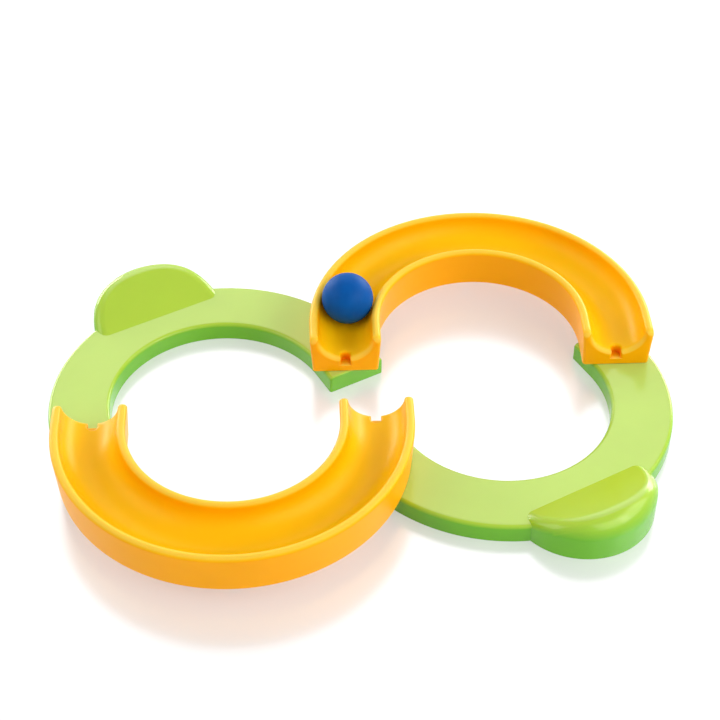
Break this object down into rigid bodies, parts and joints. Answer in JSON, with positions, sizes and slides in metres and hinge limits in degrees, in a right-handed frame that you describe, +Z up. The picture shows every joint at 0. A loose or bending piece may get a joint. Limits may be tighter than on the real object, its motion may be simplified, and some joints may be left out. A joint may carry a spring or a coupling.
{
  "type": "ball track toy",
  "caption": "Figure-of-eight ball track toy: half-ring ball troughs and thumb arms hinged into a parallelogram, so the ball passes from trough to trough.",
  "frame": {"origin": "on the table, under the middle of the four pivots", "axes": "+X along the chord of the tracks, towards the right pivot; +Y towards the back track; +Z up"},
  "size_m": [0.3752, 0.2922, 0.0542],
  "materials": {
    "track_plastic": "glossy moulded orange-yellow plastic",
    "arm_plastic": "glossy moulded light green plastic",
    "ball_rubber": "smooth solid blue rubber",
    "washer_plastic": "natural white plastic",
    "screw_steel": "zinc-plated steel"
  },
  "bodies": {
    "left_arm": {"left_arm_shell": "arm_plastic", "left_arm_cover": "arm_plastic", "left_arm_cover_screw_1": "screw_steel", "left_arm_cover_screw_2": "screw_steel", "left_arm_cover_screw_3": "screw_steel", "left_arm_cover_screw_4": "screw_steel"},
    "back_track": {"back_track_shell": "track_plastic", "back_track_cover": "track_plastic", "back_track_cover_screw_1": "screw_steel", "back_track_cover_screw_2": "screw_steel", "back_track_cover_screw_3": "screw_steel", "centre_back_pivot_washer": "washer_plastic", "centre_back_pivot_screw": "screw_steel", "right_pivot_washer": "washer_plastic", "right_pivot_screw": "screw_steel"},
    "front_track": {"front_track_shell": "track_plastic", "front_track_cover": "track_plastic", "front_track_cover_screw_1": "screw_steel", "front_track_cover_screw_2": "screw_steel", "front_track_cover_screw_3": "screw_steel", "centre_front_pivot_washer": "washer_plastic", "centre_front_pivot_screw": "screw_steel", "left_pivot_washer": "washer_plastic", "left_pivot_screw": "screw_steel"},
    "right_arm": {"right_arm_shell": "arm_plastic", "right_arm_cover": "arm_plastic", "right_arm_cover_screw_1": "screw_steel", "right_arm_cover_screw_2": "screw_steel", "right_arm_cover_screw_3": "screw_steel", "right_arm_cover_screw_4": "screw_steel"},
    "ball": {"ball": "ball_rubber"}
  },
  "joints": [
    {"name": "centre_back_pivot", "type": "hinge", "parent": "left_arm", "child": "back_track", "pos_m": [-0.00815, 0.03896, 0.012], "axis": [0, 0, -1], "range_deg": [-17.1, 142.1]},
    {"name": "left_pivot", "type": "hinge", "parent": "left_arm", "child": "front_track", "pos_m": [-0.15785, -0.03896, 0.012], "axis": [0, 0, -1], "range_deg": [-17.1, 142.1]},
    {"name": "right_pivot", "type": "hinge", "parent": "back_track", "child": "right_arm", "pos_m": [0.15785, 0.03896, 0.012], "axis": [0, 0, -1], "range_deg": [-142.1, 17.1]},
    {"name": "ball_roll", "type": "hinge", "parent": "back_track", "child": "ball", "pos_m": [0.07485, 0.04146, 0.0383], "axis": [0, 0, 1], "range_deg": [-166, 14]}
  ],
  "couplings": [
    {"joint": "left_pivot", "follows": "centre_back_pivot", "ratio": 1},
    {"joint": "right_pivot", "follows": "centre_back_pivot", "ratio": -1}
  ]
}
